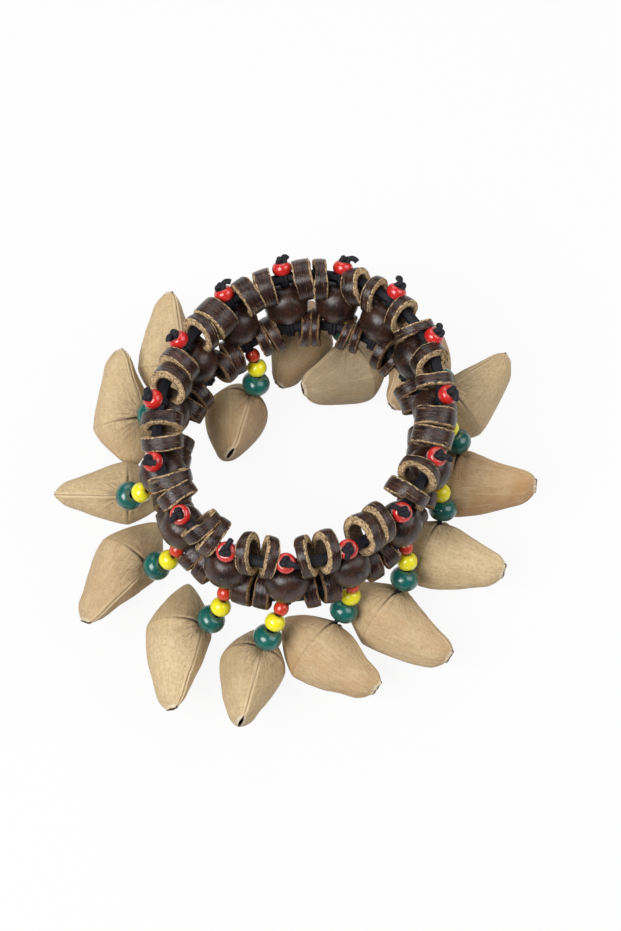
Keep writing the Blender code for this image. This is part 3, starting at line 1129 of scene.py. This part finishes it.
@dataclass
class WoodBeads:
    """The round wooden beads between the rows."""

    drops: Sequence[Drop]
    radius: float = 6.2 * MM
    thick: float = 11.4 * MM
    seat: float = 0.525
    vary: float = 0.04

    def build(self, finish: bpy.types.Material) -> None:
        """Makes one bead on each thread.

        Args:
            finish: Their material.
        """
        for drop in self.drops:
            clay = Clay(*BEAD_MARKS)
            tag, seed = f"{drop.number:02d}", chance(drop.number, Trait.WOOD)
            radius = self.radius * (1 + stray(self.vary, drop.number, Trait.WOOD_SIZE))
            bead = Bead(radius, self.thick, bore=0.95 * MM, belly=0.84, steps=48)
            near = Vector((math.cos(seed * 6), math.sin(seed * 6), 0.2))
            middle = drop.foot.lerp(drop.top, self.seat)
            bead.shape(clay, facing(drop.top - drop.foot, middle, near), seed)
            piece = clay.fire(f"round_bead_{tag}", finish)
            hand_over(piece, "band", "wood_bead", f"wood_bead_{tag}")


@dataclass
class Stoppers:
    """The red stopper beads and the knotted thread ends on top of the band."""

    drops: Sequence[Drop]
    elastic: float = 1.15 * MM
    radius: float = 2.75 * MM
    thick: float = 3.4 * MM
    thread: float = 0.72 * MM
    sides: int = 12
    lean: float = 0.55
    lean_vary: float = 0.15
    knot_steps: int = 48
    knot_width: float = 0.40
    tail_steps: int = 14
    hitch_steps: int = 28

    def knot(self, clay: Clay, place: Matrix, seed: float) -> None:
        """Ties an overhand knot with a short tail.

        Args:
            clay: The mesh that takes the knot.
            place: Where it goes; local Z is away from the bead.
            seed: A number that makes the knot unlike the others.
        """
        path = []
        for step in range(self.knot_steps + 1):
            a = 2 * math.pi * step / self.knot_steps * 1.02
            path.append(Vector((
                (math.sin(a) + 1.6 * math.sin(2 * a)) * self.knot_width,
                (math.cos(a) - 1.6 * math.cos(2 * a)) * self.knot_width,
                1.1 - 0.75 * math.sin(3 * a))) * MM)
        clay.tube([place @ spot for spot in path], self.thread * 1.05, self.sides)
        lean = Vector((math.cos(seed * 9), math.sin(seed * 9), 0))
        tail = []
        for step in range(self.tail_steps + 1):
            share = step / self.tail_steps
            rise = 1.0 + 1.3 * math.sin(share * 2.6)
            tail.append((lean * share * (1.6 + 2.4 * seed) + Vector((0, 0, rise))) * MM)
        clay.tube([place @ spot for spot in tail], self.thread, self.sides, swell=0.1)

    def hitch(self, clay: Clay, spot: Vector, up: Vector) -> None:
        """Winds the thread round the elastic where it crosses.

        Args:
            clay: The mesh that takes the turns.
            spot: The crossing.
            up: Along the thread.
        """
        out = Vector((spot.x, spot.y, 0)).normalized()
        line = up.cross(out).normalized()
        for side in (-1, 1):
            loop = []
            for step in range(self.hitch_steps):
                a = 2 * math.pi * step / self.hitch_steps
                loop.append(spot + (out * math.cos(a) + up * math.sin(a)) * (self.elastic + 0.4 * MM)
                            + line * (side * 0.5 + 0.35 * math.cos(a)) * MM)
            clay.tube(loop, self.thread * 0.9, 10, True)

    def build(self, paint: bpy.types.Material, cord: bpy.types.Material) -> None:
        """Makes the beads, the knots and the threads through the wooden beads.

        Args:
            paint: The beads' material.
            cord: The threads' material.
        """
        beads, threads = Clay(*BEAD_MARKS), Clay()
        for drop in self.drops:
            up = (drop.top - drop.foot).normalized()
            seed = chance(drop.number, Trait.STOPPER)
            out = Vector((drop.top.x, drop.top.y, 0)).normalized()
            lean = self.lean + stray(self.lean_vary, drop.number, Trait.STOPPER_LEAN)
            axis = (up + out * lean).normalized()
            middle = drop.top + axis * (self.elastic + self.thick / 2)
            bead = Bead(self.radius, self.thick, bore=1.2 * MM, belly=0.86, steps=40)
            bead.shape(beads, facing(axis, middle), seed)
            crown = drop.top + axis * (self.elastic + self.thick - 0.9 * MM)
            self.knot(threads, facing(axis, crown), seed)
            course = [drop.foot, (drop.top + drop.foot) / 2, drop.top, crown]
            threads.tube(course, self.thread, self.sides)
            for spot in (drop.top, drop.foot):
                self.hitch(threads, spot, up)
        hand_over(beads.fire("stopper_beads", paint), "band", "strand_beads")
        hand_over(threads.fire("stopper_knots", cord), "band", "strand_beads")


@dataclass
class Strand:
    """The end of a thread with its red, yellow and green beads."""

    drop: Drop
    start: float = 1.7 * MM
    gap: float = 0.3 * MM
    thread: float = 0.6 * MM
    knot: float = 1.6 * MM
    steps: int = 24
    sides: int = 12

    def build(self, paints: dict[str, bpy.types.Material], cord: bpy.types.Material) -> None:
        """Makes the thread and its beads.

        Args:
            paints: Materials by bead colour.
            cord: The thread's material.
        """
        tag, body = f"{self.drop.number:02d}", f"drop_{self.drop.number:02d}"
        along = self.start
        for number, (colour, bead) in enumerate(STRAND_BEADS.items()):
            clay = Clay(*BEAD_MARKS)
            spot, heading = self.drop.thread_at(along + self.gap / 2 + bead.thick / 2)
            seed = chance(self.drop.number, Trait.STRAND + number)
            bead.shape(clay, facing(heading, spot), seed)
            hand_over(clay.fire(f"{colour}_bead_{tag}", paints[colour]), body, "strand_beads")
            along += bead.thick + self.gap
        clay = Clay()
        reach = self.drop.length + self.knot
        points = [self.drop.thread_at(reach * step / self.steps)[0] for step in range(self.steps + 1)]
        clay.tube(points, self.thread, self.sides)
        hand_over(clay.fire(f"thread_{tag}", cord), body, "strand_beads", f"strand_{tag}")


@dataclass
class Shell:
    """A hollow double-cone nutshell with a keel, a crease, a thread hole and a slit tip."""

    drop: Drop
    big: float = 22.2 * MM
    small: float = 14.0 * MM
    keel: float = 10.0 * MM
    cheek: float = 9.2 * MM
    bend: float = 1.6 * MM
    tip_keel: float = 3.9 * MM
    tip_cheek: float = 2.4 * MM
    nose: float = 0.9 * MM
    slit_length: float = 4.4 * MM
    slit_width: float = 0.9 * MM
    slit_depth: float = 7.0 * MM
    drawn_from: float = 0.78
    inset: float = 0.35
    sides: int = 112
    small_rings: int = 28
    big_rings: int = 52
    lip_rings: int = 6
    pocket_rings: int = 5

    def station(self, ring: int, stretch: float) -> tuple[float, float, float, float, float, float]:
        """One ring of the shell, counted from the blunt tip to the bottom of the slit.

        Args:
            ring: The ring's number.
            stretch: The nut's length against the mean nut.

        Returns:
            Place along the nut, lean to the keel, half height, half width, and how far the ring
            belongs to the torn lip and to the dark inside.
        """
        end = self.big * stretch
        if ring <= self.small_rings:
            share = (1 - ring / self.small_rings) ** 1.25
            full = (1 - share ** 1.28) ** 0.72
            return (-share * self.small * stretch, self.bend / 3 * share * share,
                    self.keel * full, self.cheek * full, 0.0, 0.0)
        if ring <= self.small_rings + self.big_rings:
            share = math.sin((ring - self.small_rings) / self.big_rings * math.pi / 2) ** 1.2
            full = 1 - share ** 1.32
            drawn = max(share - self.drawn_from, 0.0) / (1 - self.drawn_from)
            tall = self.tip_keel + (self.keel - self.tip_keel) * full
            wide = self.tip_cheek + (self.cheek - self.tip_cheek) * full
            return (share * end, self.bend * share * share + self.nose * drawn ** 3,
                    tall * (1 - 0.5 * drawn ** 3), wide * (1 - 0.68 * drawn ** 3),
                    smooth(share, 0.968, 0.99), 0.0)
        over = ring - self.small_rings - self.big_rings
        tall, wide = self.slit_length / 2, self.slit_width / 2
        if over <= self.lip_rings:
            share = over / self.lip_rings
            last = self.station(self.small_rings + self.big_rings, stretch)
            return (last[0] + math.sin(share * math.pi * 0.6) * 0.008 * end, last[1],
                    last[2] + (tall - last[2]) * share, last[3] + (wide - last[3]) * share,
                    1.0, smooth(share, 0.8, 1.0))
        share = (over - self.lip_rings) / self.pocket_rings
        is_open = share < 1
        return (end - share * self.slit_depth, self.bend + self.nose,
                tall * (1 + 0.3 * share) * is_open, wide * (1 + 1.5 * share) * is_open, 0.0, 1.0)

    def relief(self, spot: Vector, along: float, across: float, stretch: float) -> float:
        """How far the skin stands out: lumps, keel lips, the crack by the hole and its wrinkles.

        Args:
            spot: A place on the plain form.
            along: Its distance from the crease.
            across: Its distance from the keel, round the nut.
            stretch: The nut's length against the mean nut.

        Returns:
            The height in millimetres.
        """
        number = self.drop.number
        traits = (Trait.LUMPS_X, Trait.LUMPS_Y, Trait.LUMPS_Z)
        offset = Vector([chance(number, trait) for trait in traits]) * 30
        hole, turned = math.hypot(along, across), math.atan2(across, along)
        lump = noise.noise(spot * 80 + offset) * 0.5 + noise.noise(spot * 230 + offset) * 0.14
        lump -= self.inset
        fine = noise.noise(spot * 900 + offset) * 0.035
        fade = smooth(along, 1.5 * MM, 7 * MM)
        rise = bell(across, 1.9 * MM) * 0.45
        ridge = bell(abs(across) - 0.62 * MM, 0.3 * MM) * 0.16
        groove = bell(across, 0.17 * MM) * 0.2
        crack = bell(along, 0.28 * MM) * bell(hole, 5.5 * MM) * 0.75
        brow = bell(abs(along) - 0.9 * MM, 0.7 * MM) * bell(hole, 8 * MM) * 0.25
        dimple = bell(hole, 2.2 * MM) * 0.8
        waist = chance(number, Trait.WAIST) ** 2 * bell(along / stretch - 14 * MM, 4 * MM) * 0.6
        ray = noise.noise(Vector((turned * 9, hole * 70, number))) * bell(hole, 7 * MM) * 0.22
        return lump + fine + (rise + ridge - groove) * fade - crack + brow - dimple - waist + ray

    def build(self, finish: bpy.types.Material) -> None:
        """Makes the shell.

        Args:
            finish: Its material.
        """
        drop, seed = self.drop, chance(self.drop.number, Trait.SHELL)
        # The second share is painted shade, for nuts that lie under the band.
        brown, grey = SHELL_TONES[drop.number - 1]
        stretch = drop.reach / self.big
        rings = self.small_rings + self.big_rings + self.lip_rings + self.pocket_rings
        clay = Clay(*SHELL_MARKS)
        bmesh.ops.create_uvsphere(clay.bm, u_segments=self.sides, v_segments=rings, radius=1)
        for vert in clay.bm.verts:
            ring = round((1 - math.acos(max(-1.0, min(1.0, vert.co.z))) / math.pi) * rings)
            turned = math.atan2(vert.co.y, vert.co.x)
            along, lean, tall, wide, lip, inside = self.station(ring, stretch)
            spot = Vector((along, lean + tall * math.cos(turned), wide * math.sin(turned)))
            across = turned * (tall + wide) / 2
            out = Vector((0, math.cos(turned) / max(tall, MM), math.sin(turned) / max(wide, MM)))
            out.normalize()
            held = min(min(tall, wide) / (3 * MM), 1.0) * (1 - lip) * (1 - inside)
            torn = noise.noise(spot * 1300) * 0.3 * lip * (1 - inside)
            vert.co = spot + out * self.relief(spot, along, across, stretch) * held * MM
            vert.co += Vector((torn, torn * 0.5, 0)) * MM
            clay.mark(vert, {
                "shell_along": along,
                "shell_keel": across,
                "shell_hole": math.hypot(along, across),
                "shell_turn": math.atan2(across, along),
                "shell_round": turned * self.cheek,
                "shell_lip": lip * (1 - inside),
                "shell_inside": inside,
                "shell_brown": brown,
                "shell_band_shade": grey,
                "shell_seed": seed,
            })
        up = -drop.enter
        place = axes(drop.tip, up, drop.tip.cross(up), drop.mouth - up * self.keel)
        clay.move(clay.bm.verts[:], place)
        tag = f"{drop.number:02d}"
        piece = clay.fire(f"shell_{tag}", finish, 70)
        hand_over(piece, f"nut_{tag}", "nutshell", f"nutshell_{tag}")


@dataclass
class Studio:
    """The pale table, the soft lights and the camera."""

    elevation: float = math.radians(68)
    distance: float = 0.56
    target: tuple[float, float, float] = (0.0, 0.0, 0.0435)
    focal: float = 81.2
    sensor: float = 36.0
    shift: tuple[float, float] = (0.0075, -0.0553)
    table: float = 3.0
    table_grey: float = 0.6
    table_glow: float = 0.92
    sky: float = 0.13
    lamps: tuple[tuple[str, tuple[float, float, float], float, float], ...] = (
        ("key_light", (-0.4, -0.3, 0.7), 0.5, 8.2),
        ("fill_light", (0.55, 0.05, 0.6), 0.6, 3.6),
        ("far_light", (-0.1, 0.6, 0.55), 0.6, 2.2),
    )

    def floor(self) -> None:
        """Lays the table, white to the camera with a faint shadow."""
        clay = Clay()
        bmesh.ops.create_grid(clay.bm, x_segments=1, y_segments=1, size=self.table)
        made = bpy.data.materials.new("table")
        made.use_nodes = True
        shading = Shading(made.node_tree)
        shader = made.node_tree.nodes["Principled BSDF"]
        shader.inputs["Base Color"].default_value = (*[self.table_grey] * 3, 1)
        shader.inputs["Roughness"].default_value = 0.9
        shader.inputs["Specular IOR Level"].default_value = 0.0
        ray = shading.add("ShaderNodeLightPath")
        seen = shading.calc("MAXIMUM", ray.outputs["Is Camera Ray"], ray.outputs["Is Glossy Ray"])
        seen = shading.calc("MAXIMUM", seen, ray.outputs["Is Transmission Ray"])
        glow = shading.add("ShaderNodeEmission", {"Color": (1.0, 1.0, 1.0), "Strength": 1.0})
        mixed = shading.add("ShaderNodeMixShader", {
            0: shading.times(seen, self.table_glow), 1: shader.outputs[0], 2: glow.outputs[0]})
        shading.feed(made.node_tree.nodes["Material Output"].inputs["Surface"], mixed.outputs[0])
        clay.fire("table", made)

    def light(self, name: str, spot: Sequence[float], size: float, power: float) -> None:
        """Hangs a soft square lamp that faces the bracelet.

        Args:
            name: The lamp's name.
            spot: Where it hangs.
            size: Its side.
            power: Its strength in watts.
        """
        lamp = bpy.data.lights.new(name, "AREA")
        lamp.size, lamp.energy = size, power
        made = bpy.data.objects.new(name, lamp)
        made.location = spot
        made.rotation_euler = (Vector(self.target) - Vector(spot)).to_track_quat("-Z", "Y").to_euler()
        bpy.context.scene.collection.objects.link(made)

    def camera(self) -> None:
        """Sets the camera where the photograph was taken from."""
        data = bpy.data.cameras.new("camera")
        data.sensor_fit, data.sensor_height, data.lens = "VERTICAL", self.sensor, self.focal
        data.shift_x, data.shift_y = self.shift
        made = bpy.data.objects.new("camera", data)
        ahead = Vector((0, math.cos(self.elevation), -math.sin(self.elevation)))
        made.location = Vector(self.target) - ahead * self.distance
        made.rotation_euler = ahead.to_track_quat("-Z", "Y").to_euler()
        bpy.context.scene.collection.objects.link(made)
        bpy.context.scene.camera = made

    def build(self) -> None:
        """Sets up the whole studio."""
        self.floor()
        for lamp in self.lamps:
            self.light(*lamp)
        world = bpy.data.worlds.new("room")
        world.use_nodes = True
        back = world.node_tree.nodes["Background"]
        back.inputs["Color"].default_value = (1, 1, 1, 1)
        back.inputs["Strength"].default_value = self.sky
        bpy.context.scene.world = world
        self.camera()
        bpy.context.scene.view_settings.view_transform = "Standard"


def main() -> None:
    """Builds the bracelet over its frame, piece by piece."""
    logging.basicConfig(level=logging.INFO, format="%(message)s")
    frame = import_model()
    band = Band()
    drops = [Drop.from_frame(number, band, frame) for number in range(1, band.drops + 1)]
    effects = Effects()
    shell = Nutshell("dry_shell", (0.64, 0.495, 0.285), (0.50, 0.37, 0.20), rough=0.6).make(effects)
    coconut = Coconut("coconut", (0.009, 0.004, 0.0035), (0.74, 0.54, 0.30), rough=0.17).make(effects)
    # Painted shade: the lower row gets a darker copy of the coconut finish, with darker cut faces, for
    # lying under the upper row.
    shaded = Coconut("shaded_coconut", (0.007, 0.003, 0.003), (0.30, 0.18, 0.085), rough=0.17).make(effects)
    wood = DarkWood("dark_wood", (0.023, 0.011, 0.009), (0.050, 0.018, 0.010), rough=0.28).make(effects)
    cord = BlackCord("black_cord", (0.003, 0.003, 0.006), (0.010, 0.010, 0.017), rough=0.6).make(effects)
    paints = {key: paint.make(effects) for key, paint in PAINTS.items()}
    Elastics(band).build(cord)
    Rings(band, Row.UPPER, UPPER_RINGS, radius=5.5 * MM, thick=5.5 * MM, hang=0.1,
          inset=1.5 * MM).build(coconut)
    Rings(band, Row.LOWER, LOWER_RINGS, radius=5.2 * MM, thick=5.0 * MM, hang=-0.3,
          inset=1.1 * MM).build(shaded)
    WoodBeads(drops).build(wood)
    Stoppers(drops).build(paints["stopper"], cord)
    for drop in drops:
        Strand(drop).build(paints, cord)
        Shell(drop).build(shell)
    Studio().build()


if __name__ == "__main__":
    main()
